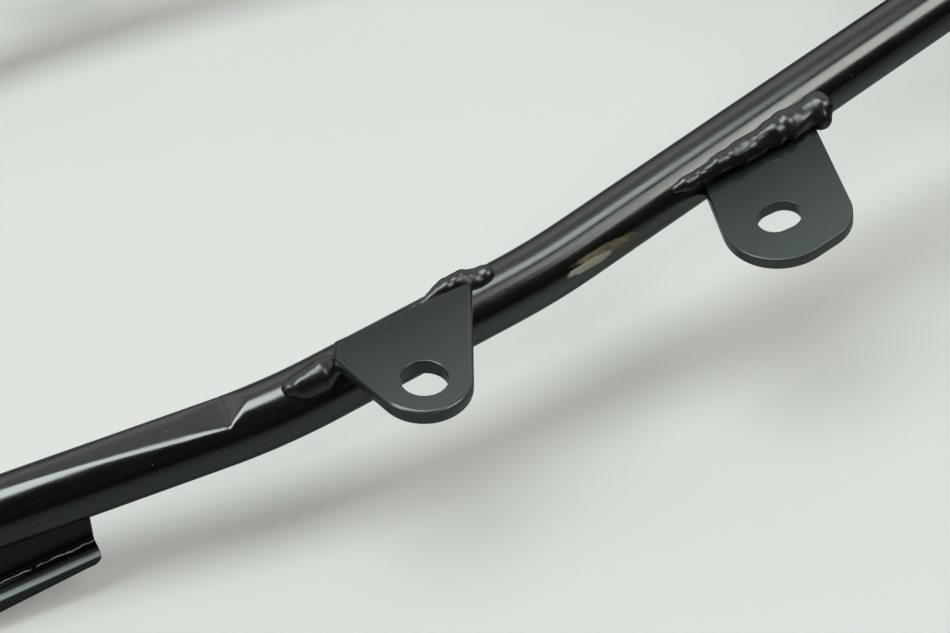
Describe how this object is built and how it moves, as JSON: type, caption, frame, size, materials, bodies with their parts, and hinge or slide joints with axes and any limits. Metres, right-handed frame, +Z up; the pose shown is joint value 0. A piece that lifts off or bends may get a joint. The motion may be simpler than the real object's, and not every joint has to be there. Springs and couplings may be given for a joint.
{
  "type": "rear subframe",
  "caption": "Welded tubular rear subframe of a small motorcycle: bent rails joined by a tail hoop, with side tabs, hook brackets, a latch plate and bolt bosses at the front.",
  "frame": {"origin": "centre of the bounding box, at its lowest face", "axes": "+X forward towards the main frame, +Y to the left side of the bike, +Z up"},
  "size_m": [0.6988, 0.3376, 0.1216],
  "materials": {
    "frame_paint": "gloss black paint over steel",
    "weld_bead": "gloss black paint over rippled weld beads",
    "zinc": "dull zinc plating"
  },
  "bodies": {
    "root": {"right_rail": "frame_paint", "left_rail": "frame_paint", "tail_hoop": "frame_paint", "front_cross_tube": "frame_paint", "lower_cross_tube": "frame_paint", "right_strut": "frame_paint", "left_strut": "frame_paint", "right_upper_boss": "frame_paint", "left_upper_boss": "frame_paint", "right_lower_boss": "frame_paint", "left_lower_boss": "frame_paint", "right_strut_gusset": "frame_paint", "left_strut_gusset": "frame_paint", "right_rear_tab": "frame_paint", "left_rear_tab": "frame_paint", "right_front_tab": "frame_paint", "left_front_tab": "frame_paint", "right_hook_bracket": "frame_paint", "left_hook_bracket": "frame_paint", "latch_plate": "frame_paint", "latch_plate_nuts": "zinc", "seat_hook": "frame_paint", "light_bracket": "frame_paint", "right_rear_tab_welds": "weld_bead", "left_rear_tab_welds": "weld_bead", "right_front_tab_weld": "weld_bead", "left_front_tab_weld": "weld_bead", "right_frame_welds": "weld_bead", "left_frame_welds": "weld_bead"}
  },
  "joints": []
}
